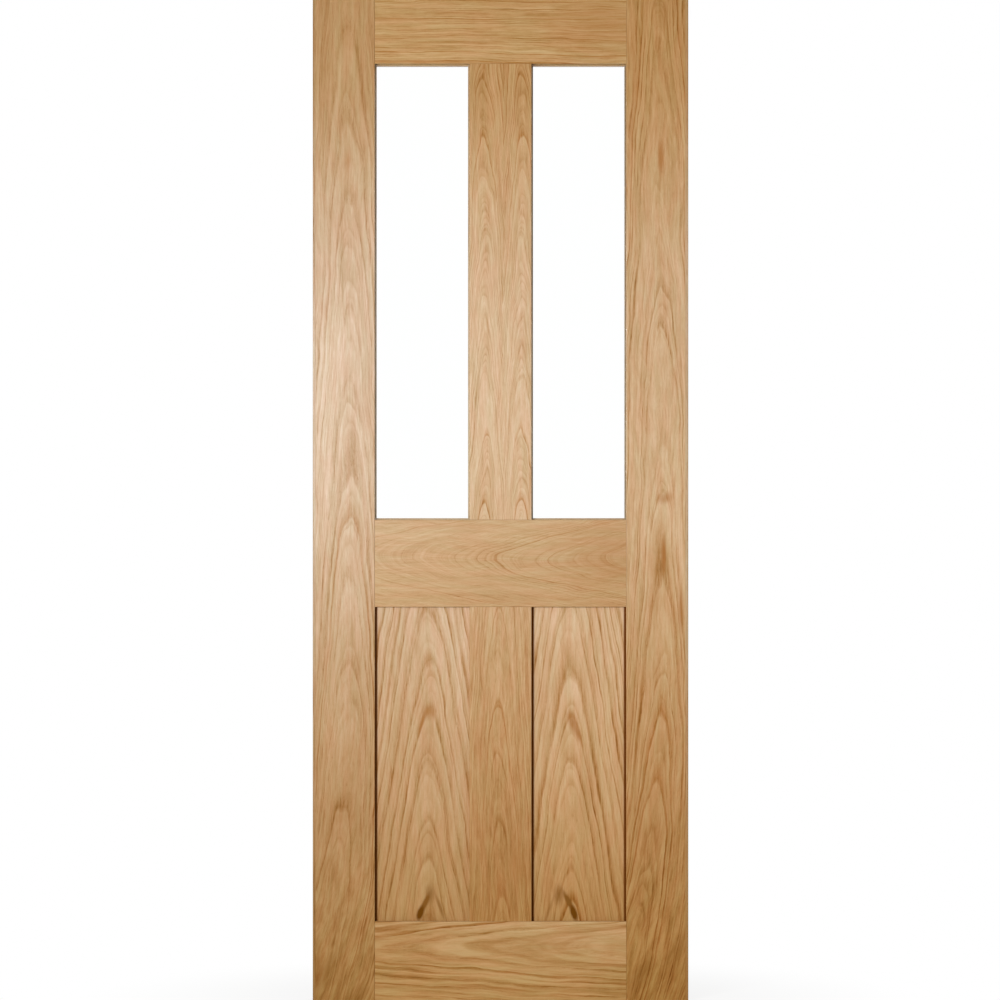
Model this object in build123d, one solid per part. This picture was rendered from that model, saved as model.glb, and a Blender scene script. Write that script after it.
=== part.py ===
from build123d import *
import os

# Glazed interior door leaf in oak: two tall clear lights over two flat panels.
# X runs from the hinge edge to the lock edge, Y from the front face to the back, Z up.
# The origin is on the hinge edge, at the foot of the leaf and midway through its thickness.
# All sizes are in millimetres.

# Leaf
leaf_width = 762.0
leaf_height = 2032.0
leaf_thickness = 40.0
lipping_thickness = 6.0
arris_radius = 1.5

# Faces of the framing, as seen from the front
stile_width = 126.0
muntin_width = 126.0
top_rail_height = 131.0
lock_rail_height = 177.0
bottom_rail_height = 161.0
panel_opening_height = 638.0

# Rail joints: haunched tenons in stopped mortises
tenon_thickness = 13.0
tenon_length = 70.0
tenon_edge_shoulder = 5.0
tenon_clearance = 0.15
haunch_length = 14.0
haunch_height = 42.0
haunch_margin = 8.0
twin_tenon_gap = 40.0

# Muntin joints: stub tenons in the rails
stub_tenon_length = 35.0

# Flat panels, loose in grooves
panel_thickness = 16.0
panel_face_clearance = 0.15
panel_movement_gap = 2.0
groove_depth = 12.0

# Glazing: a rebate open to the back, clear glass on its lip, mitred beads behind
front_lip_depth = 12.0
rebate_width = 10.0
glass_thickness = 4.0
glass_edge_gap = 2.0
bead_sight_proud = 3.0
bead_setback = 0.5
bead_edge_radius = 2.0
mitre_clearance = 0.1

# Places worked out from the sizes above
opening_width = (leaf_width - 2 * stile_width - muntin_width) / 2
panel_bottom = bottom_rail_height
panel_top = panel_bottom + panel_opening_height
light_bottom = panel_top + lock_rail_height
light_top = leaf_height - top_rail_height
leaf_middle = leaf_width / 2
front_face = -leaf_thickness / 2
back_face = leaf_thickness / 2
glass_front = front_face + front_lip_depth
glass_back = glass_front + glass_thickness
bead_back = back_face - bead_setback


def block(xs, ys, zs):
    """A rectangular solid between pairs of X, Y and Z values."""
    size = [pair[1] - pair[0] for pair in (xs, ys, zs)]
    corner = Pos(xs[0], ys[0], zs[0])
    return corner * Box(*size, align=(Align.MIN, Align.MIN, Align.MIN))


def outline(*points):
    """A flat shape in the plane of the leaf, from its corners as X and Z."""
    return Plane.XZ * make_face(Polyline(*points, close=True))


def mirrored(shape):
    """The same shape at the other side of the leaf."""
    return mirror(shape, about=Plane.YZ.offset(leaf_middle))


def from_outline(shape, thickness):
    """A solid centred in the thickness of the leaf, from an outline."""
    return extrude(shape, amount=thickness / 2, both=True)


def tenon(shape):
    return from_outline(shape, tenon_thickness)


def mortise(shape):
    """The pocket for a tenon, with its glue clearance all round."""
    grown = offset(shape, amount=tenon_clearance, kind=Kind.INTERSECTION)
    return from_outline(grown, tenon_thickness + 2 * tenon_clearance)


# Outlines of the joints, for the left half of the leaf

def haunched_tenon(inner_edge, main_edge, outer_edge):
    """A tenon with a sloping haunch that dies away towards the end of the stile."""
    return outline(
        (stile_width, inner_edge),
        (stile_width - tenon_length, inner_edge),
        (stile_width - tenon_length, main_edge),
        (stile_width - haunch_length, main_edge),
        (stile_width, outer_edge),
    )


def top_rail_tenon():
    inner_edge = light_top + rebate_width + tenon_edge_shoulder
    return haunched_tenon(inner_edge, leaf_height - haunch_height, leaf_height - haunch_margin)


def bottom_rail_tenon():
    inner_edge = panel_bottom - groove_depth - tenon_edge_shoulder
    return haunched_tenon(inner_edge, haunch_height, haunch_margin)


def lock_rail_tenons():
    """Twin tenons joined by a haunch, as on any deep rail."""
    low = panel_top + groove_depth + tenon_edge_shoulder
    high = light_bottom - rebate_width - tenon_edge_shoulder
    gap_low = (low + high - twin_tenon_gap) / 2
    gap_high = gap_low + twin_tenon_gap
    end = stile_width - tenon_length
    haunch = stile_width - haunch_length
    return outline(
        (stile_width, low),
        (end, low),
        (end, gap_low),
        (haunch, gap_low),
        (haunch, gap_high),
        (end, gap_high),
        (end, high),
        (stile_width, high),
    )


def stub_tenon(shoulder, end, side_depth):
    """A muntin's tenon, narrower than the muntin by what is cut from its sides."""
    half = muntin_width / 2 - side_depth - tenon_edge_shoulder
    return outline(
        (leaf_middle - half, shoulder),
        (leaf_middle + half, shoulder),
        (leaf_middle + half, end),
        (leaf_middle - half, end),
    )


def upper_muntin_tenons():
    return [
        stub_tenon(light_top, light_top + stub_tenon_length, rebate_width),
        stub_tenon(light_bottom, light_bottom - stub_tenon_length, rebate_width),
    ]


def lower_muntin_tenons():
    return [
        stub_tenon(panel_top, panel_top + stub_tenon_length, groove_depth),
        stub_tenon(panel_bottom, panel_bottom - stub_tenon_length, groove_depth),
    ]


# Rebates and grooves, for the left half of the leaf

def glazing_rebate():
    """The space behind the front lip, round the left light."""
    xs = (stile_width - rebate_width, stile_width + opening_width + rebate_width)
    zs = (light_bottom - rebate_width, light_top + rebate_width)
    return block(xs, (glass_front, back_face), zs)


def panel_groove():
    """The space that the edges of the left panel run in."""
    half = panel_thickness / 2 + panel_face_clearance
    xs = (stile_width - groove_depth, stile_width + opening_width + groove_depth)
    zs = (panel_bottom - groove_depth, panel_top + groove_depth)
    return block(xs, (-half, half), zs)


# Framing

def upright(width, height, eased):
    """A board along Z, from a section whose eased corners are on the given sides in X."""
    section = Rectangle(width, leaf_thickness)
    corners = [v for v in section.vertices() if v.X * eased >= 0]
    return extrude(fillet(corners, arris_radius), amount=height)


def left_stile():
    width = stile_width - lipping_thickness
    stile = Pos(lipping_thickness + width / 2, 0, 0) * upright(width, leaf_height, 1)
    for shape in (top_rail_tenon(), lock_rail_tenons(), bottom_rail_tenon()):
        stile -= mortise(shape)
    return stile - glazing_rebate() - panel_groove()


def left_lipping():
    """Solid oak along the edge of the stile, which the hinges are let into."""
    return Pos(lipping_thickness / 2, 0, 0) * upright(lipping_thickness, leaf_height, -1)


def muntin(bottom, top, tenons, side_cut):
    board = Pos(leaf_middle, 0, bottom) * upright(muntin_width, top - bottom, 0)
    for shape in tenons:
        board += tenon(shape)
    return board - side_cut - mirrored(side_cut)


def rail(bottom, top, end_tenon, stub_tenons, edge_cuts):
    """A board along X between the stiles, with a tenon at each end."""
    height = top - bottom
    section = Rectangle(leaf_thickness, height)
    section = fillet(section.vertices(), arris_radius)
    board = extrude(Plane.YZ * section, amount=leaf_width - 2 * stile_width)
    board = Pos(stile_width, 0, bottom + height / 2) * board
    board += tenon(end_tenon)
    board += mirrored(tenon(end_tenon))
    for shape in stub_tenons:
        board -= mortise(shape)
    for cut in edge_cuts:
        board -= cut
        board -= mirrored(cut)
    return board


def top_rail():
    return rail(light_top, leaf_height, top_rail_tenon(), upper_muntin_tenons()[:1], [glazing_rebate()])


def lock_rail():
    stubs = [upper_muntin_tenons()[1], lower_muntin_tenons()[0]]
    cuts = [glazing_rebate(), panel_groove()]
    return rail(panel_top, light_bottom, lock_rail_tenons(), stubs, cuts)


def bottom_rail():
    return rail(0, panel_bottom, bottom_rail_tenon(), lower_muntin_tenons()[1:], [panel_groove()])


# What fills the openings

def left_panel():
    """A flat panel that stands on the groove in the bottom rail, free to move elsewhere."""
    reach = groove_depth - panel_movement_gap
    xs = (stile_width - reach, stile_width + opening_width + reach)
    zs = (panel_bottom - groove_depth, panel_top + reach)
    return block(xs, (-panel_thickness / 2, panel_thickness / 2), zs)


def left_glass():
    reach = rebate_width - glass_edge_gap
    xs = (stile_width - reach, stile_width + opening_width + reach)
    zs = (light_bottom - reach, light_top + reach)
    return block(xs, (glass_front, glass_back), zs)


def glazing_bead(length, place):
    """One bead, lying along X with its outer edge on Z = 0 and its mitres rising inwards."""
    width = rebate_width + bead_sight_proud
    start = mitre_clearance
    end = length - mitre_clearance
    shape = outline((start, 0), (end, 0), (end - width, width), (start + width, width))
    bead = extrude(shape, amount=-(bead_back - glass_back))
    back_inner = bead.edges().filter_by(Axis.X).sort_by(lambda e: e.center().Y + e.center().Z)[-1]
    return place * fillet(back_inner, bead_edge_radius)


def left_light_beads():
    """Four mitred beads round the left light, named for the side that each one holds."""
    x0 = stile_width - rebate_width
    x1 = stile_width + opening_width + rebate_width
    z0 = light_bottom - rebate_width
    z1 = light_top + rebate_width
    return {
        "bottom": glazing_bead(x1 - x0, Pos(x0, glass_back, z0)),
        "top": glazing_bead(x1 - x0, Pos(x1, glass_back, z1) * Rot(0, 180, 0)),
        "left": glazing_bead(z1 - z0, Pos(x0, glass_back, z1) * Rot(0, 90, 0)),
        "right": glazing_bead(z1 - z0, Pos(x1, glass_back, z0) * Rot(0, -90, 0)),
    }


def door():
    """Every piece of the leaf by its node name."""
    pieces = {
        "top_rail": top_rail(),
        "lock_rail": lock_rail(),
        "bottom_rail": bottom_rail(),
        "upper_muntin": muntin(light_bottom, light_top, upper_muntin_tenons(), glazing_rebate()),
        "lower_muntin": muntin(panel_bottom, panel_top, lower_muntin_tenons(), panel_groove()),
    }
    halves = {
        "stile": left_stile(),
        "edge_lipping": left_lipping(),
        "panel": left_panel(),
        "glass": left_glass(),
    }
    for name, shape in halves.items():
        pieces["left_" + name] = shape
        pieces["right_" + name] = mirrored(shape)
    opposite = {"top": "top", "bottom": "bottom", "left": "right", "right": "left"}
    for side, bead in left_light_beads().items():
        pieces["left_light_bead_" + side] = bead
        pieces["right_light_bead_" + opposite[side]] = mirrored(bead)
    return pieces


os.makedirs("parts", exist_ok=True)
for node, solid in door().items():
    export_step(solid, f"parts/{node}.step")
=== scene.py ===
import math
from dataclasses import dataclass, replace

import bmesh
import bpy
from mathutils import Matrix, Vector

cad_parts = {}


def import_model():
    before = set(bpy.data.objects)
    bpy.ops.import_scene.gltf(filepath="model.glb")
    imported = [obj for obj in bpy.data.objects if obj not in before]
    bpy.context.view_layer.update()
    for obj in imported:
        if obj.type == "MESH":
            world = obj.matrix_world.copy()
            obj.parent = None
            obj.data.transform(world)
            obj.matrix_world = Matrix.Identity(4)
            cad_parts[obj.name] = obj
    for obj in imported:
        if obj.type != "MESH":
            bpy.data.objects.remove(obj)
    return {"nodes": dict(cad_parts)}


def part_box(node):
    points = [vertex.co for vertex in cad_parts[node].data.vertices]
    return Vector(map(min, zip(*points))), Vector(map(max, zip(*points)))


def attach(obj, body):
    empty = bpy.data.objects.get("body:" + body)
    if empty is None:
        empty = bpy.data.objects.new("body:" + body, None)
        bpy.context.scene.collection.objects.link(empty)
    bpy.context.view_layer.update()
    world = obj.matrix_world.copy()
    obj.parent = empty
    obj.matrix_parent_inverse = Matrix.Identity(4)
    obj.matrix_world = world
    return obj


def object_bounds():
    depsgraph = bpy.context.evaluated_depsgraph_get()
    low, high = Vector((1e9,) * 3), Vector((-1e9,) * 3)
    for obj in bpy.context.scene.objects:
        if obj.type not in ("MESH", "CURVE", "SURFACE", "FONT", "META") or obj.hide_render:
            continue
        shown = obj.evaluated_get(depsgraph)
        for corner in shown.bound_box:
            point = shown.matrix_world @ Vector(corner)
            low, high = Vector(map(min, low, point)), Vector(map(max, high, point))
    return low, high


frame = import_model()
cad_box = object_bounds()

# The leaf as it stands in the frame, in metres
low, high = cad_box
centre = (low + high) / 2
depth = high.y - low.y
height = high.z - low.z
MM = 0.001

# Camera: square to the front face, and far enough away for a nearly flat view. Its distance and reach are
# in metres, its sensor in millimetres.
CAMERA_DISTANCE = 9.0
CAMERA_REACH = 200.0
SENSOR = 36.0
# Height of the leaf as a share of the height of the picture, and metres that it stands right of the middle
FRAMING = 1.0016
LEAF_OFF_CENTRE = 0.0011

# Lamps: place and side of the square in metres, and watts
LAMPS = {
    "key": (Vector((-3.9, -8.4, 1.9)), 1.1, 430.0),
    "sheen": (Vector((-0.55, -3.2, 1.2)), 0.8, 33.8),
    "back": (Vector((4.9, 8.0, 4.4)), 1.6, 360.0),
}
# Strength of the soft light from all round
WORLD_STRENGTH = 0.44

# Floor, in metres. Where it is seen it glows white: by this share under the leaf, and wholly further out.
FLOOR_RADIUS = 60.0
FLOOR_SIDES = 96
FLOOR_GLOW = 0.82
FLOOR_FADE = (0.3, 0.9)
FLOOR_PAINT = ((0.80, 0.80, 0.79, 1.0), (0.84, 0.84, 0.83, 1.0))

WHITE = (1.0, 1.0, 1.0, 1.0)

# Sockets of a Mix node that mixes colours
MIX_A = 6
MIX_B = 7
MIX_RESULT = 2


@dataclass(frozen=True)
class Streaks:
    """A noise drawn out along the grain: its length along and its width across, in millimetres."""
    length: float
    width: float
    detail: float = 2.0
    roughness: float = 0.5
    shift: float = 0.0  # moves it along the grain, so that it differs from streaks of like size


class Shader:
    """The node tree of a material or a world, built by short calls that mostly return an output socket."""

    def __init__(self, owner):
        owner.use_nodes = True
        self.owner = owner
        self.tree = owner.node_tree
        self.tree.nodes.clear()

    def node(self, kind, inputs=None, **settings):
        made = self.tree.nodes.new("ShaderNode" + kind)
        for key, value in settings.items():
            setattr(made, key, value)
        for key, value in (inputs or {}).items():
            self.put(made.inputs[key], value)
        return made

    def put(self, socket, value):
        if isinstance(value, bpy.types.NodeSocket):
            self.tree.links.new(value, socket)
        else:
            socket.default_value = value

    def output(self, surface, kind="OutputMaterial"):
        self.node(kind, {"Surface": surface})
        return self.owner

    def math(self, operation, *values):
        return self.node("Math", dict(enumerate(values)), operation=operation).outputs[0]

    def add(self, a, b):
        return self.math("ADD", a, b)

    def minus(self, a, b):
        return self.math("SUBTRACT", a, b)

    def times(self, a, b):
        return self.math("MULTIPLY", a, b)

    def times_and_add(self, a, b, rest):
        return self.math("MULTIPLY_ADD", a, b, rest)

    def power(self, base, exponent):
        return self.math("POWER", base, exponent)

    def smaller(self, a, b):
        return self.math("MINIMUM", a, b)

    def larger(self, a, b):
        return self.math("MAXIMUM", a, b)

    def size_of(self, value):
        return self.math("ABSOLUTE", value)

    def hypotenuse(self, a, b):
        return self.math("SQRT", self.add(self.times(a, a), self.times(b, b)))

    def scaled(self, value, at_zero, at_one):
        """A straight line through one number where value is 0 and another where it is 1."""
        return self.times_and_add(value, at_one - at_zero, at_zero)

    def step(self, value, start, end):
        """A smooth step from 0 at start to 1 at end, which may lie on either side of start."""
        inputs = {"Value": value, "From Min": start, "From Max": end}
        return self.node("MapRange", inputs, interpolation_type="SMOOTHSTEP").outputs[0]

    def noise(self, x, y, z, detail=2.0, roughness=0.5):
        """Smooth noise about 0.5, from coordinates already in units of its own scale."""
        place = self.node("CombineXYZ", {"X": x, "Y": y, "Z": z}).outputs[0]
        inputs = {"Vector": place, "Scale": 1.0, "Detail": detail, "Roughness": roughness}
        return self.node("TexNoise", inputs).outputs["Fac"]

    def streaks(self, kind, u, v, w, seed):
        """Noise about 0.5 of one kind of streaks, at a place along, across and into a board."""
        along = self.times_and_add(u, 1 / kind.length, seed + kind.shift)
        across = self.times(v, 1 / kind.width)
        inwards = self.times(w, 1 / kind.width)
        return self.noise(along, across, inwards, kind.detail, kind.roughness)

    def with_noise(self, value, noise, share):
        """A value with a share of a noise added, as often down as up."""
        return self.times_and_add(self.minus(noise, 0.5), share, value)

    def mix(self, factor, a, b, blend="MIX"):
        inputs = {"Factor": factor, MIX_A: a, MIX_B: b}
        return self.node("Mix", inputs, data_type="RGBA", blend_type=blend).outputs[MIX_RESULT]

    def tinted(self, colour, tint):
        return self.mix(1.0, colour, tint, "MULTIPLY")

    def ramp(self, value, stops, interpolation="LINEAR"):
        """A colour between stops, each a place from 0 to 1 and a colour."""
        made = self.node("ValToRGB", {"Fac": value})
        made.color_ramp.interpolation = interpolation
        elements = made.color_ramp.elements
        while len(elements) < len(stops):
            elements.new(0.5)
        for element, (place, colour) in zip(elements, stops):
            element.position = place
            element.color = colour
        return made.outputs["Color"]

    def seen(self):
        """1 where a surface is seen directly, in a reflection or through glass, and 0 for other light."""
        path = self.node("LightPath").outputs
        direct = self.larger(path["Is Camera Ray"], path["Is Transmission Ray"])
        return self.larger(direct, path["Is Glossy Ray"])


def srgb(red, green, blue):
    """A linear colour from 0 to 255 values."""
    def linear(value):
        value /= 255
        return value / 12.92 if value <= 0.04045 else ((value + 0.055) / 1.055) ** 2.4
    return (linear(red), linear(green), linear(blue), 1.0)


# Oak from its palest fibre (0) to the early wood of a ring (1)
OAK = (
    (0.0, srgb(226, 194, 152)),
    (0.3, srgb(210, 171, 122)),
    (0.65, srgb(182, 136, 78)),
    (1.0, srgb(138, 88, 24)),
)
PORE_OAK = srgb(108, 68, 22)
FLAMED_OAK = srgb(194, 130, 60)
AMBER_OAK = srgb(155, 105, 58)
BROWN_OAK = srgb(122, 80, 33)
STAINED_OAK = srgb(101, 60, 12)
# Painted shade, laid in the panels' recesses along the framing
PAINTED_SHADE = srgb(92, 48, 10)
BRIGHT_BRASS = srgb(214, 176, 102)
AGED_BRASS = srgb(138, 104, 58)

# Tint from the foot (0) to the head (1), mostly painted light: a painted sheen makes the middle paler and
# bluer, and painted shade makes the foot and head darker and yellower
HEIGHT_LIGHT_TINTS = (
    (0.0, (0.447, 0.327, 0.115, 1.0)),
    (0.2, (0.608, 0.501, 0.354, 1.0)),
    (0.45, (0.747, 0.747, 0.755, 1.0)),
    (0.68, (0.77, 0.785, 0.87, 1.0)),
    (0.85, (0.639, 0.57, 0.447, 1.0)),
    (1.0, (0.562, 0.47, 0.323, 1.0)),
)

# Patches of darker and paler finish, and of redder and greener wood: their sizes along the grain and across
# it in millimetres, and their tints
PATCH_SIZE = (260, 70)
PATCH_TINTS = ((0.93, 0.90, 0.86, 1), (1.06, 1.08, 1.10, 1))
HUE_SIZE = (95, 16)
HUE_STEP = (0.3, 0.7)
HUE_TINTS = ((1.025, 0.975, 0.975, 1), (0.975, 1.02, 1.0, 1))
# How far the colour turns to that of the flames and of the pores
FLAME_TINT_SHARE = 0.45
PORE_TINT_SHARE = 0.35

# The finish is polished by hands between the outer heights, and fully between the inner two. Millimetres.
POLISH_STARTS = 500
POLISH_FULL = (1150, 1500)
POLISH_ENDS = 1950
# The coat where the finish is plain and where it is polished, and the shine of the wood below it
COAT_PLAIN = 0.04
COAT_POLISHED = 0.78
COAT_ROUGHNESS = 0.28
SPECULAR = 0.16
# How smooth and how rough the palest and the darkest wood are
SMOOTHNESS = (1.0, 0.3)
ROUGHNESS = (0.38, 0.52)

# Painted shade along an edge of the framing: how far out it reaches, and how far out it is darkest, in
# millimetres
SHADE_EDGE_WIDTH = 6.4
SHADE_EDGE_DARKEST = 2.8

# A mark sets in from its edge, at 1, to near its middle, and shows more as early wood and fibre grow
# through this range
MARK_FADE = (1.0, 0.1)
MARK_GRAIN = (-0.6, 0.9)

# The relief of the grain: pores go in and fine fibre stands out, by these shares of a depth in metres
PORE_RELIEF = -0.7
FIBRE_RELIEF = 0.3
RELIEF_STRENGTH = 0.35
RELIEF_DEPTH = 0.0004

# Seeds of the boards are spread out by these, so that no two boards share a noise
RING_SEED_STEP = 7.31
GRAIN_SEED_STEP = 3.77
# What sets the thinner lines apart from the rings, and the hues from the patches
MINOR_SEED = 40.0
HUE_SEED = 5.0

# Streaks that bend the rings, over long and short stretches, and that make them uneven from place to place
STRAY = Streaks(420, 190)
RIPPLE = Streaks(120, 36)
SWELL = Streaks(170, 42, detail=3.0, roughness=0.45, shift=3.0)

# Streaks that make a ring come and go, and that break it up, each with its step and how far it can swing
COMING = Streaks(230, 26, shift=9.0)
COMING_STEP = (0.3, 0.7)
COMING_MIDDLE = 0.9
COMING_SWING = 0.6
BROKEN = Streaks(34, 2.6, roughness=0.6)
BROKEN_STEP = (0.32, 0.68)
BROKEN_SWING = 0.55

# Streaks of the wood between the rings, its pores, and the blotches at the foot of a stile
BROAD = Streaks(330, 18)
MIDDLE = Streaks(64, 5, detail=3.0, roughness=0.65)
FINE = Streaks(26, 1.7, detail=3.0, roughness=0.6)
PORES = Streaks(9, 0.5, detail=1.0)
PORE_STEP = (0.56, 0.68)
PORES_BETWEEN_RINGS = 0.15
BLOTCHES = Streaks(56, 15, detail=3.0, roughness=0.6, shift=17.0)
BLOTCH_STEP = (0.25, 0.75)

# Height below which the grain of a stile leans over and grows blotched, in millimetres
SWEEP_FROM = 560

# Rings: how fast their width varies from one to the next, and how sharply they start
UNEVEN_PER_RING = 0.45
RING_START = 8.0
# How dark the weakest ring is, what a fully steady board adds to that, and how dark the strongest is
WEAKEST_RING = 0.15
STEADY_RING = 0.5
STRONGEST_RING = 1.15
# How dark rings are where they meet the face squarely, beside the crown of an arch
STEEPEST = 1.2
# Share of the swings above that a fully steady board loses
STEADYING = 0.6
# Thinner lines in each ring, how fast each kind of line fades outwards, and which rings are flamed
MINOR_PER_RING = 2.63
EARLY_FADE = 4.5
MINOR_FADE = 2.0
FLAME_FADE = 2.2
FLAMED_RINGS = (0.62, 0.95)

# Bands that follow the rings: how many to a ring, and how long in millimetres
BANDS_PER_RING = 1.9
BAND_LENGTH = 260

# What every board has in common: the darkness that it starts from, and what parts of the grain add to it
BASE_DARK = 0.2
FLAME_DARK = 0.30
BROAD_DARK = 0.35
PORE_DARK = 0.3


@dataclass(frozen=True)
class Mark:
    """A stain in the grain: a soft ellipse, with its middle and half its sizes in millimetres."""
    across: float
    along: float
    half_width: float
    half_length: float
    lean: float = 0.0  # millimetres across for each one along
    strength: float = 1.0
    colour: tuple = AMBER_OAK


@dataclass(frozen=True)
class Board:
    """How a board lay in the tree and how strongly its grain shows. Lengths are in millimetres."""
    along: str = "Z"  # the axis that the grain runs along, Z or X
    pith: float = 0.0  # where the middle of the tree lies across the board
    behind: float = 60.0  # how far the middle of the tree lies behind the front face
    twin: float = 0.0  # how far arches stand to each side of pith, where they are in pairs
    taper: float = 0.05  # how much a ring narrows along the grain; arches point up or right if positive
    ring: float = 4.0  # mean width of a ring
    phase: float = 0.0  # shifts the rings, in rings
    uneven: float = 0.9  # how much the width of the rings varies
    swell: float = 3.0  # how uneven the rings are from place to place
    wander: float = 10.0  # how far the grain strays over long stretches
    ripple: float = 3.0  # how far it strays over short ones
    sweep: float = 0.0  # how far it leans over at the foot
    mottle: float = 0.0  # how blotched it is there
    line: float = 0.8  # how dark the rings are
    minor: float = 0.35  # how dark the thinner lines in them are, beside the rings
    steady: float = 0.0  # how even and unbroken the rings are, from 0 to 1
    crown: float = 0.6  # how dark they are where an arch turns
    layer: float = 0.75  # how dark the soft bands along them are
    streak: float = 0.5  # how dark the soft streaks are
    fibre: float = 0.4  # how dark the fine streaks are
    tint: tuple = (1.0, 1.0, 1.0)  # what its colour is multiplied by
    marks: tuple = ()  # stains in its grain
    corners: tuple = ()  # places across the board where shade is painted along the framing, darkest against it
    seed: float = 0.0


@dataclass(frozen=True)
class Place:
    """Sockets of a place on a board in millimetres: along the grain, across, in from the front, and up."""
    u: object
    v: object
    w: object
    up: object


@dataclass(frozen=True)
class Grain:
    """Sockets of the grain at a place: bent is v with the grain's bends taken out, the rest are amounts."""
    bent: object
    dark: object
    pores: object
    fine: object
    early: object
    flame: object


def board_place(shader, board):
    """Where a point of the leaf lies on its board."""
    coordinates = shader.node("TexCoord").outputs["Object"]
    parts = shader.node("SeparateXYZ", {"Vector": coordinates}).outputs
    x, y, z = (shader.times(parts[name], 1 / MM) for name in "XYZ")
    inwards = shader.add(y, depth / 2 / MM)
    if board.along == "Z":
        return Place(z, x, inwards, z)
    return Place(x, z, inwards, z)


def ring_place(shader, board, place):
    """How many rings lie between the pith and a place, how steeply they meet the face, from 0 to 1, and the
    place across the board with the grain's bends taken out."""
    u, v, w = place.u, place.v, place.w
    seed = board.seed * RING_SEED_STEP
    stray = shader.streaks(STRAY, u, v, w, seed)
    ripple = shader.streaks(RIPPLE, u, v, w, seed)
    bent = shader.add(v, shader.scaled(stray, -board.wander, board.wander))
    bent = shader.add(bent, shader.scaled(ripple, -board.ripple, board.ripple))
    if board.sweep:
        fall = shader.larger(shader.times_and_add(u, -1 / SWEEP_FROM, 1.0), 0.0)
        bent = shader.times_and_add(shader.times(fall, fall), board.sweep, bent)
    side = shader.minus(bent, board.pith)
    if board.twin:
        side = shader.minus(shader.size_of(side), board.twin)
    radius = shader.hypotenuse(side, shader.add(w, board.behind))
    steep = shader.size_of(shader.math("DIVIDE", side, radius))
    radius = shader.times_and_add(u, board.taper, radius)
    radius = shader.with_noise(radius, shader.streaks(SWELL, u, v, w, seed), board.swell)
    rings = shader.times_and_add(radius, 1 / board.ring, board.phase)
    ring_noise = {"W": shader.times_and_add(rings, UNEVEN_PER_RING, seed), "Scale": 1.0, "Detail": 1.0}
    uneven = shader.node("TexNoise", ring_noise, noise_dimensions="1D").outputs["Fac"]
    return shader.add(rings, shader.scaled(uneven, -board.uneven, board.uneven)), steep, bent


def ring_parts(shader, rings, seed):
    """A ring's own random number, how far its start has set in, and how much of it is still to come."""
    index = shader.math("FLOOR", rings)
    phase = shader.minus(rings, index)
    noise = shader.node("TexWhiteNoise", {"W": shader.add(index, seed)}, noise_dimensions="1D")
    start = shader.smaller(shader.times(phase, RING_START), 1.0)
    return noise.outputs["Value"], start, shader.minus(1.0, phase)


def ring_line(shader, parts, fade, weakest):
    """The early wood of a ring, dark from its start and fading outwards, stronger in some rings."""
    number, start, to_come = parts
    line = shader.times(start, shader.power(to_come, fade))
    return shader.times(line, shader.scaled(number, weakest, STRONGEST_RING))


def oak_grain(shader, board, place):
    """The grain of a board at a place: rings first, then streaks, bands and blotches laid over them."""
    u, w = place.u, place.w
    seed = board.seed * GRAIN_SEED_STEP
    rings, steep, bent = ring_place(shader, board, place)
    parts = ring_parts(shader, rings, seed)
    number, start, to_come = parts
    early = ring_line(shader, parts, EARLY_FADE, WEAKEST_RING + STEADY_RING * board.steady)
    minor_parts = ring_parts(shader, shader.times(rings, MINOR_PER_RING), seed + MINOR_SEED)
    minor = ring_line(shader, minor_parts, MINOR_FADE, 0.0)
    flame = shader.times(start, shader.power(to_come, FLAME_FADE))
    flame = shader.times(shader.step(number, *FLAMED_RINGS), flame)

    fine = shader.streaks(FINE, u, bent, w, seed)
    pores = shader.step(shader.streaks(PORES, u, bent, w, seed), *PORE_STEP)
    pores = shader.times(pores, shader.scaled(early, PORES_BETWEEN_RINGS, 1.0))

    loose = 1.0 - STEADYING * board.steady
    swing = COMING_SWING * loose
    coming = shader.step(shader.streaks(COMING, u, bent, w, seed), *COMING_STEP)
    early = shader.times(early, shader.scaled(steep, board.crown, STEEPEST))
    early = shader.times(early, shader.scaled(coming, COMING_MIDDLE - swing, COMING_MIDDLE + swing))
    swing = BROKEN_SWING * loose
    broken = shader.step(shader.streaks(BROKEN, u, bent, w, seed), *BROKEN_STEP)
    dark = shader.times(early, shader.scaled(broken, (1 - swing) * board.line, (1 + swing) * board.line))
    dark = shader.times_and_add(minor, board.minor * board.line, dark)
    dark = shader.times_and_add(flame, FLAME_DARK * board.line, dark)

    band_along = shader.times_and_add(u, 1 / BAND_LENGTH, seed)
    band_across = shader.times(rings, BANDS_PER_RING)
    bands = shader.noise(band_across, band_along, seed, detail=3.0, roughness=0.6)
    dark = shader.with_noise(dark, bands, board.layer)
    dark = shader.with_noise(dark, shader.streaks(MIDDLE, u, bent, w, seed), board.streak)
    dark = shader.with_noise(dark, shader.streaks(BROAD, u, bent, w, seed), BROAD_DARK)
    dark = shader.with_noise(dark, fine, board.fibre)
    dark = shader.times_and_add(pores, PORE_DARK, dark)
    if board.mottle:
        blotch = shader.step(shader.streaks(BLOTCHES, u, bent, w, seed), *BLOTCH_STEP)
        blotch = shader.times(shader.minus(blotch, 0.5), shader.step(u, SWEEP_FROM, 0.0))
        dark = shader.times_and_add(blotch, board.mottle, dark)
    dark = shader.smaller(shader.larger(shader.add(dark, BASE_DARK), 0.0), 1.0)
    return Grain(bent, dark, pores, fine, early, flame)


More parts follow.
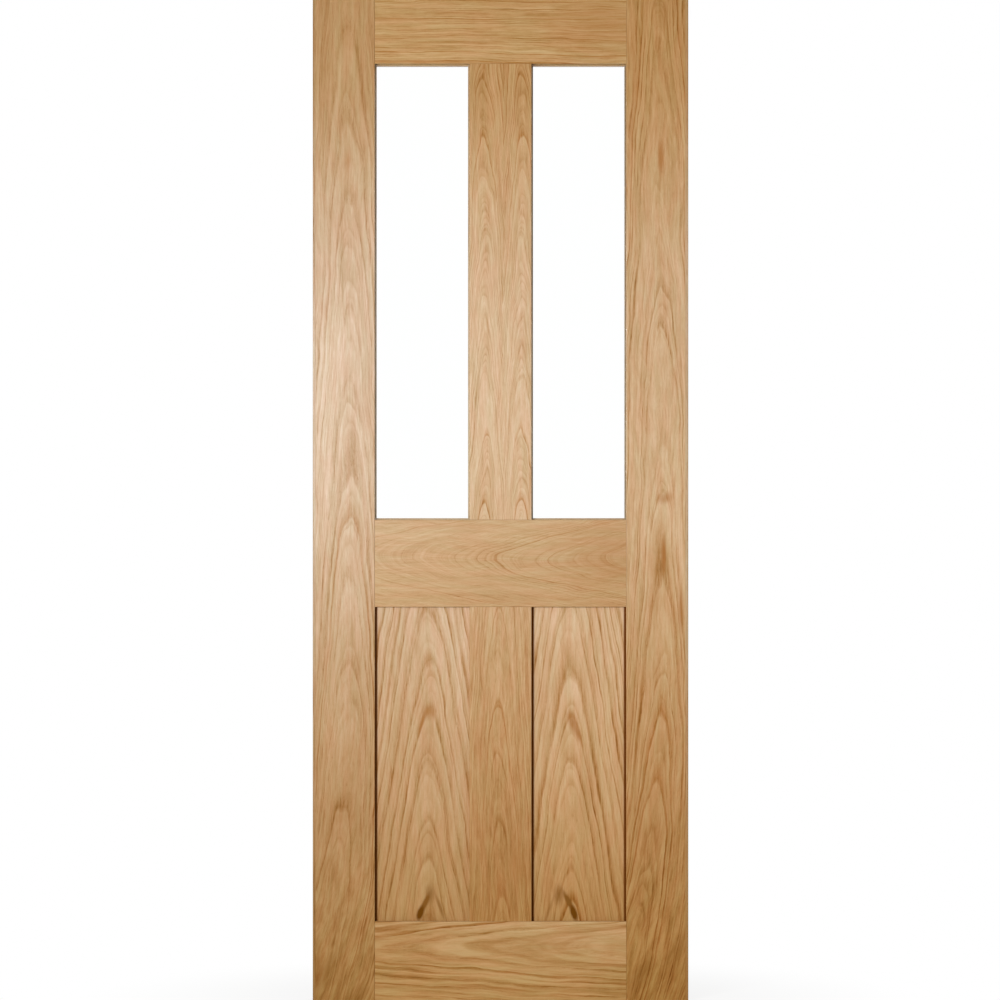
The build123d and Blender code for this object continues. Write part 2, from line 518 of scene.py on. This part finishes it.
def oak_colour(shader, board, place, grain):
    """The colour of the wood, with painted light by height, before any mark or painted shade."""
    colour = shader.ramp(grain.dark, OAK)
    colour = shader.mix(shader.times(grain.flame, FLAME_TINT_SHARE), colour, FLAMED_OAK)
    colour = shader.mix(shader.times(grain.pores, PORE_TINT_SHARE), colour, PORE_OAK)
    patch_along = shader.times(place.u, 1 / PATCH_SIZE[0])
    patch = shader.noise(patch_along, shader.times(place.v, 1 / PATCH_SIZE[1]), board.seed)
    colour = shader.tinted(colour, shader.mix(patch, *PATCH_TINTS))
    hue_along = shader.times(place.u, 1 / HUE_SIZE[0])
    hue_across = shader.times(grain.bent, 1 / HUE_SIZE[1])
    hue = shader.noise(hue_along, hue_across, board.seed + HUE_SEED, detail=3.0)
    colour = shader.tinted(colour, shader.mix(shader.step(hue, *HUE_STEP), *HUE_TINTS))
    # Painted sheen at mid height and painted shade towards the head and foot
    height_light = shader.ramp(shader.times(place.up, MM / height), HEIGHT_LIGHT_TINTS, "B_SPLINE")
    return shader.tinted(shader.tinted(colour, height_light), (*board.tint, 1.0))


def mark_share(shader, place, grain, mark):
    """How much of a mark shows at a place, from 0 to 1: more where the grain has early wood and fibre."""
    along = shader.add(place.u, -mark.along)
    across = shader.times_and_add(along, -mark.lean, shader.add(place.v, -mark.across))
    along = shader.times(along, 1 / mark.half_length)
    across = shader.times(across, 1 / mark.half_width)
    inside = shader.step(shader.hypotenuse(along, across), *MARK_FADE)
    inside = shader.times(inside, shader.step(shader.add(grain.early, grain.fine), *MARK_GRAIN))
    return shader.smaller(shader.times(inside, mark.strength), 1.0)


def with_marks(shader, board, place, grain, colour):
    """The colour with its marks and painted shade along the framing, and how matt they leave the surface,
    from 0 to 1.
    """
    matt = 0.0
    for mark in board.marks:
        inside = mark_share(shader, place, grain, mark)
        colour = shader.mix(inside, colour, mark.colour)
        matt = shader.larger(matt, inside)
    # Painted shade along the framing, which also leaves the surface matt
    for corner in board.corners:
        away = shader.size_of(shader.minus(place.v, corner))
        shade_share = shader.step(away, SHADE_EDGE_WIDTH, SHADE_EDGE_DARKEST)
        colour = shader.mix(shade_share, colour, PAINTED_SHADE)
        matt = shader.larger(matt, shade_share)
    return colour, matt


def oak(name, board):
    """Satin oiled oak for one board."""
    shader = Shader(bpy.data.materials.new(name))
    place = board_place(shader, board)
    grain = oak_grain(shader, board, place)
    colour = oak_colour(shader, board, place, grain)
    colour, matt = with_marks(shader, board, place, grain, colour)

    smooth = shader.times(shader.minus(1.0, matt), shader.scaled(grain.dark, *SMOOTHNESS))
    above = shader.step(place.up, POLISH_STARTS, POLISH_FULL[0])
    below = shader.step(place.up, POLISH_ENDS, POLISH_FULL[1])
    handled = shader.times(above, below)
    relief = shader.times_and_add(grain.pores, PORE_RELIEF, shader.times(grain.fine, FIBRE_RELIEF))
    bump = shader.node("Bump", {"Height": relief, "Strength": RELIEF_STRENGTH, "Distance": RELIEF_DEPTH})
    surface = shader.node("BsdfPrincipled", {
        "Base Color": colour,
        "Roughness": shader.scaled(grain.dark, *ROUGHNESS),
        "Specular IOR Level": shader.times(smooth, SPECULAR),
        "Coat Weight": shader.times(smooth, shader.scaled(handled, COAT_PLAIN, COAT_POLISHED)),
        "Coat Roughness": COAT_ROUGHNESS,
        "Normal": bump.outputs[0],
    }).outputs[0]
    return shader.output(surface)


def photo_x(pixel):
    """Millimetres from the hinge edge, for a column of the photograph. The leaf spans 375.9 columns, from
    312.6 on."""
    return (pixel - 312.6) * 762 / 375.9


def photo_z(pixel):
    """Millimetres above the foot, for a row of the photograph. The leaf spans all 1000 rows."""
    return 2032 - pixel * 2.032


LEFT_PANEL_MARKS = (
    Mark(photo_x(429), photo_z(712), 18, 24, 0.0, 0.8),
    Mark(photo_x(422), photo_z(722), 7, 36, 0.35, 0.7),
    Mark(photo_x(430), photo_z(894), 16, 30, 0.0, 0.75, BROWN_OAK),
    Mark(photo_x(440), photo_z(907), 6, 40, -0.35, 0.9, BROWN_OAK),
    Mark(photo_x(425), photo_z(903), 9, 34, 0.45, 1.5, BROWN_OAK),
    Mark(photo_x(420), photo_z(913), 10, 22, 0.25, 1.7, STAINED_OAK),
)
RIGHT_PANEL_MARKS = (
    Mark(photo_x(572), photo_z(722), 12, 34, -0.2, 1.0),
    Mark(photo_x(578), photo_z(732), 8, 40, -0.3, 1.0),
    Mark(photo_x(559), photo_z(895), 16, 32, 0.0, 0.8, BROWN_OAK),
    Mark(photo_x(550), photo_z(908), 6, 40, 0.35, 0.5, BROWN_OAK),
    Mark(photo_x(569), photo_z(902), 9, 34, -0.5, 1.5, BROWN_OAK),
    Mark(photo_x(574), photo_z(913), 10, 24, -0.25, 1.8, STAINED_OAK),
)
LEFT_STILE_MARKS = (
    Mark(photo_x(347), photo_z(160), 11, 36, 0.0, 0.45),
    Mark(photo_x(327), photo_z(970), 26, 70, 0.5, 0.45, BROWN_OAK),
    Mark(photo_x(356), photo_z(995), 30, 40, 0.5, 0.4, BROWN_OAK),
)
RIGHT_STILE_MARKS = (
    Mark(photo_x(661), photo_z(158), 10, 52, 0.0, 0.95),
    Mark(photo_x(664), photo_z(555), 7, 60, 0.0, 1.1),
    Mark(photo_x(681), photo_z(610), 9, 66, 0.0, 0.8),
    Mark(photo_x(665), photo_z(498), 22, 18, 0.3, 0.75),
    Mark(photo_x(640), photo_z(975), 26, 60, 0.5, 0.45, BROWN_OAK),
    Mark(photo_x(676), photo_z(950), 24, 60, 0.5, 0.4, BROWN_OAK),
)

# Edges of the framing along which shade is painted on the panels, in millimetres from the hinge edge
LEFT_STILE_EDGE = 126.0
LOWER_MUNTIN_EDGE = 444.0
RIGHT_STILE_EDGE = 636.0

# What the boards of each kind have in common
STILE = Board(ring=4.6, wander=16, ripple=6, mottle=0.55, steady=0.1)
PANEL = Board(behind=11, taper=0.155, ring=16.0, phase=0.96, uneven=0.5, wander=12, ripple=6, swell=9.0,
              minor=0.3, steady=0.6, crown=1.0, layer=0.4)
LIPPING = Board(behind=-20, taper=0.01, ring=3.0, line=0.6)
BEAD = Board(behind=120, taper=0.01, ring=3.0, wander=4, line=0.6)
# A bead darkened all over: painted shade down the right side of the right light
PAINTED_SHADE_BEAD = replace(BEAD, tint=(0.62, 0.58, 0.52))
BEAD_PITH_ASIDE = 30
FIRST_BEAD_SEED = 20  # above the seeds of the boards below

BOARDS = {
    # The left stile's extra blue is painted sheen; its lower red and green even out the key lamp, which is
    # nearer this side
    "left_stile": replace(STILE, pith=photo_x(349), behind=85, taper=0.034, phase=0.3, swell=4.0, sweep=95,
                          line=0.55, crown=0.65, layer=0.5, streak=0.7, tint=(0.935, 0.965, 1.09),
                          marks=LEFT_STILE_MARKS, seed=1),
    "right_stile": replace(STILE, pith=photo_x(661), behind=75, taper=0.032, phase=0.7, swell=5.0, sweep=90,
                           line=0.68, crown=0.75, layer=0.65, streak=0.8, tint=(0.975, 0.955, 0.955),
                           marks=RIGHT_STILE_MARKS, seed=2),
    "top_rail": Board(along="X", pith=2150, behind=70, taper=-0.004, ring=5.0, swell=4.0, ripple=6,
                      line=0.5, layer=0.9, streak=0.85, tint=(1.05, 1.11, 1.22),
                      marks=(Mark(photo_z(24), photo_x(602), 90, 170, 0.0, 0.4),), seed=3),
    "lock_rail": Board(along="X", pith=photo_z(558), behind=50, taper=-0.17, ring=3.2, swell=6.0, wander=16,
                       ripple=9, line=0.25, minor=0.7, crown=0.9, layer=0.5, streak=0.55,
                       tint=(0.90, 0.86, 0.78),
                       marks=(Mark(photo_z(556), photo_x(606), 100, 150, 0.0, 0.4),), seed=14),
    "bottom_rail": Board(along="X", pith=photo_z(946), behind=30, taper=-0.06, ring=12.0, phase=0.5,
                         uneven=0.5, swell=7.0, wander=14, ripple=8, line=0.55, minor=0.2, steady=0.3,
                         crown=0.9, layer=1.6, streak=0.6, fibre=0.35, tint=(1.2, 1.36, 2.0), seed=5),
    "upper_muntin": Board(pith=photo_x(503), behind=26, twin=38, taper=0.06, ring=3.2, swell=7.0, wander=16,
                          ripple=8, line=0.5, minor=0.45, crown=0.75, layer=0.65, streak=0.65,
                          tint=(1.0, 1.01, 1.07), seed=6),
    "lower_muntin": Board(pith=photo_x(500), behind=50, taper=0.042, ring=2.6, swell=4.0, wander=12,
                          ripple=5, line=0.45, crown=0.62, layer=0.55, streak=1.05, fibre=0.5,
                          tint=(0.95, 0.92, 0.91),
                          marks=(Mark(photo_x(519), photo_z(862), 24, 70, 0.0, 0.4),), seed=7),
    "left_panel": replace(PANEL, pith=photo_x(428), line=0.76, tint=(1.08, 1.17, 1.48),
                          marks=LEFT_PANEL_MARKS, corners=(LEFT_STILE_EDGE,), seed=8),
    "right_panel": replace(PANEL, pith=photo_x(570), tint=(1.12, 1.19, 1.43),
                           marks=RIGHT_PANEL_MARKS, corners=(LOWER_MUNTIN_EDGE, RIGHT_STILE_EDGE), seed=9),
    "left_edge_lipping": replace(LIPPING, pith=-40, tint=(0.83, 0.89, 1.03), seed=10),
    "right_edge_lipping": replace(LIPPING, pith=800, tint=(0.87, 0.90, 1.0), seed=11),
}

# Pins that hold the beads, driven from the back and slanting into the framing. Millimetres.
PIN_LENGTH = 30.0
PIN_SLANT = math.radians(18)
PIN_FROM_EDGE = 5.5
PIN_FROM_CORNER = 48.0
PIN_SPACING = 170.0
PIN_SIDES = 12
# Radius and place along the pin, from its point to its head
PIN_PROFILE = ((0.05, PIN_LENGTH), (0.7, PIN_LENGTH - 1.6), (0.7, 1.3), (1.2, 0.6), (1.2, 0.0), (0.8, -0.1))

# The way out of a light, for the bead on each of its sides
OUTWARD = {
    "left": Vector((-1, 0, 0)),
    "right": Vector((1, 0, 0)),
    "top": Vector((0, 0, 1)),
    "bottom": Vector((0, 0, -1)),
}


def bead_board(node, seed):
    """The board that a bead is cut from, with its grain along the bead."""
    lowest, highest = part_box(node)
    upright = highest.z - lowest.z > highest.x - lowest.x
    middle = (lowest + highest) / 2 / MM
    # The right light's right bead is darkened as painted shade
    board = PAINTED_SHADE_BEAD if node == "right_light_bead_right" else BEAD
    if upright:
        return replace(board, pith=middle.x + BEAD_PITH_ASIDE, seed=seed)
    return replace(board, along="X", pith=middle.z + BEAD_PITH_ASIDE, seed=seed)


def clear_glass():
    """Clear float glass, faintly green, that lets lamps and the white behind it through."""
    shader = Shader(bpy.data.materials.new("clear_glass"))
    solid = {"Color": (0.998, 1.0, 0.999, 1.0), "Roughness": 0.0, "IOR": 1.5}
    glass = shader.node("BsdfGlass", solid).outputs[0]
    clear = shader.node("BsdfTransparent", {"Color": (0.95, 0.985, 0.97, 1.0)}).outputs[0]
    path = shader.node("LightPath").outputs
    lights = shader.larger(path["Is Shadow Ray"], path["Is Diffuse Ray"])
    return shader.output(shader.node("MixShader", {0: lights, 1: glass, 2: clear}).outputs[0])


def brass():
    """Dull brass, browner and rougher in small patches."""
    shader = Shader(bpy.data.materials.new("dull_brass"))
    place = shader.node("TexCoord").outputs["Object"]
    age = shader.node("TexNoise", {"Vector": place, "Scale": 900.0, "Detail": 3.0}).outputs["Fac"]
    surface = shader.node("BsdfPrincipled", {
        "Base Color": shader.mix(age, BRIGHT_BRASS, AGED_BRASS),
        "Metallic": 1.0,
        "Roughness": shader.scaled(age, 0.25, 0.6),
    }).outputs[0]
    return shader.output(surface)


def floor_paint():
    """Pale matt paint that looks white to the camera and keeps the shadow of the leaf."""
    shader = Shader(bpy.data.materials.new("floor_paint"))
    grain = shader.node("TexNoise", {"Scale": 3.0, "Detail": 3.0}).outputs["Fac"]
    matt = shader.node("BsdfDiffuse", {"Color": shader.mix(grain, *FLOOR_PAINT)}).outputs[0]
    glow = shader.node("Emission", {"Color": WHITE, "Strength": 1.0}).outputs[0]
    place = shader.node("TexCoord").outputs["Object"]
    away = shader.node("VectorMath", {0: place}, operation="LENGTH").outputs["Value"]
    share = shader.scaled(shader.step(away, *FLOOR_FADE), FLOOR_GLOW, 1.0)
    share = shader.times(shader.seen(), share)
    return shader.output(shader.node("MixShader", {0: share, 1: matt, 2: glow}).outputs[0])


def wear(node, material):
    """Puts a material on a CAD piece without touching its mesh."""
    for slot in node.material_slots:
        slot.link = "OBJECT"
        slot.material = material


def dress_leaf():
    """Gives every CAD piece its material. Each board has one of its own, so that no two look alike."""
    nodes = frame["nodes"]
    glass = clear_glass()
    for seed, name in enumerate(sorted(nodes), start=FIRST_BEAD_SEED):
        if name.endswith("_glass"):
            wear(nodes[name], glass)
        else:
            board = BOARDS.get(name) or bead_board(name, seed)
            wear(nodes[name], oak("oak_" + name, board))


def in_scene(name, data):
    """A new object in the scene."""
    made = bpy.data.objects.new(name, data)
    bpy.context.scene.collection.objects.link(made)
    return made


def mesh_object(name, faces, material):
    """A new object in the scene, from faces that are used up by it."""
    mesh = bpy.data.meshes.new(name)
    faces.to_mesh(mesh)
    faces.free()
    mesh.materials.append(material)
    return in_scene(name, mesh)


def add_pin(pins, head, outward):
    """One pin: its head lies in the back face at head, and its shank leans outward, away from the light."""
    axis = Vector((0.0, -math.cos(PIN_SLANT), 0.0)) + math.sin(PIN_SLANT) * outward
    turn = axis.to_track_quat("Z", "X")
    rings = []
    for radius, along in PIN_PROFILE:
        ring = []
        for side in range(PIN_SIDES):
            angle = 2 * math.pi * side / PIN_SIDES
            spot = Vector((radius * math.cos(angle), radius * math.sin(angle), along))
            ring.append(pins.verts.new((head + turn @ spot) * MM))
        rings.append(ring)
    for first, second in zip(rings, rings[1:]):
        for side in range(PIN_SIDES):
            after = (side + 1) % PIN_SIDES
            pins.faces.new((first[side], first[after], second[after], second[side]))
    pins.faces.new(reversed(rings[0]))
    pins.faces.new(rings[-1])


def pin_heads(node, outward):
    """Where the heads of a bead's pins go, in millimetres: evenly along it, from corner to corner."""
    lowest, highest = (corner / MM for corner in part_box(node))
    size = highest - lowest
    along = Vector((abs(outward.z), 0, abs(outward.x)))
    across = Vector((abs(outward.x), 0, abs(outward.z)))
    middle = (lowest + highest) / 2 + outward * (size.dot(across) / 2 - PIN_FROM_EDGE)
    middle.y = highest.y
    reach = size.dot(along) - 2 * PIN_FROM_CORNER
    gaps = max(1, round(reach / PIN_SPACING))
    return [middle + along * ((number / gaps - 0.5) * reach) for number in range(gaps + 1)]


def bead_pins():
    """The brass pins along all eight beads, as one piece."""
    made = bmesh.new()
    for node in frame["nodes"]:
        if "_light_bead_" in node:
            outward = OUTWARD[node.rsplit("_", 1)[1]]
            for head in pin_heads(node, outward):
                add_pin(made, head, outward)
    bmesh.ops.recalc_face_normals(made, faces=made.faces)
    pins = mesh_object("bead_pins", made, brass())
    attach(pins, "root")


def floor():
    """The ground that the leaf stands on."""
    made = bmesh.new()
    bmesh.ops.create_circle(made, cap_ends=True, segments=FLOOR_SIDES, radius=FLOOR_RADIUS)
    ground = mesh_object("floor", made, floor_paint())
    ground.location = (centre.x, centre.y, low.z)


def world():
    """Soft light from all round, and plain white where it is seen."""
    shader = Shader(bpy.data.worlds.new("studio"))
    strength = shader.scaled(shader.seen(), WORLD_STRENGTH, 1.0)
    sky = shader.node("Background", {"Color": WHITE, "Strength": strength}).outputs[0]
    bpy.context.scene.world = shader.output(sky, "OutputWorld")


def lamp(name, place, size, power):
    """A square soft lamp that faces the middle of the leaf."""
    data = bpy.data.lights.new(name, "AREA")
    data.shape = "SQUARE"
    data.size = size
    data.energy = power
    made = in_scene(name, data)
    made.location = place
    made.rotation_mode = "QUATERNION"
    made.rotation_quaternion = (centre - place).to_track_quat("-Z", "Y")
    made.visible_camera = False


def camera():
    """Square to the front, at mid height, so that the leaf fills the height of the picture."""
    data = bpy.data.cameras.new("camera")
    data.sensor_width = SENSOR
    data.lens = FRAMING * SENSOR * CAMERA_DISTANCE / height
    data.clip_end = CAMERA_REACH
    made = in_scene("camera", data)
    made.location = (centre.x - LEAF_OFF_CENTRE, low.y - CAMERA_DISTANCE, centre.z)
    made.rotation_euler = (math.radians(90), 0.0, 0.0)
    bpy.context.scene.camera = made


camera()
world()
for lamp_name, (lamp_place, lamp_size, lamp_power) in LAMPS.items():
    lamp(lamp_name, lamp_place, lamp_size, lamp_power)
floor()
dress_leaf()
bead_pins()
bpy.context.scene.view_settings.view_transform = "Standard"
